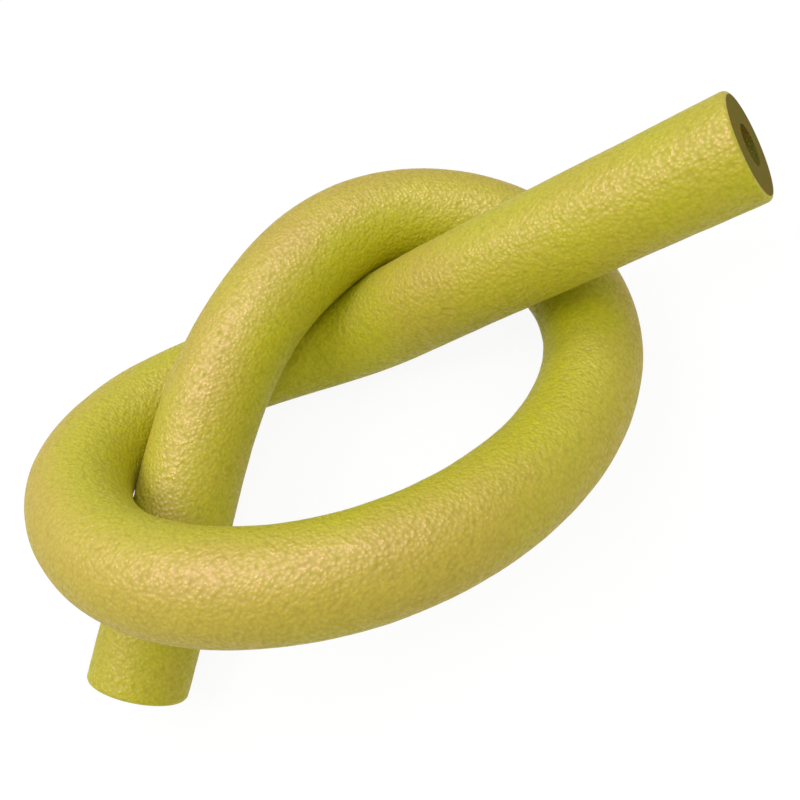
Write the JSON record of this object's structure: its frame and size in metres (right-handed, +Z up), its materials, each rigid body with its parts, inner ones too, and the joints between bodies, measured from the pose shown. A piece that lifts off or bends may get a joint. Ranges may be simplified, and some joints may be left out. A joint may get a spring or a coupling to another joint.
{
  "type": "pool noodle",
  "caption": "Foam pool noodle: a soft round bar with a bore along its middle, tied in a loose overhand knot and lying on the floor.",
  "frame": {"origin": "on the floor, under the middle of the knot's bounding box", "axes": "+X along the knot's longest extent, towards the long cut end; +Y to the back, towards the crossing of the two upper strands; +Z up. It lies on the flats of its lowest places at z = 0."},
  "size_m": [0.5206, 0.308, 0.1904],
  "materials": {
    "foam": "closed-cell foam, finely wrinkled skin, satin"
  },
  "bodies": {
    "root": {"foam_noodle": "foam"}
  },
  "joints": []
}
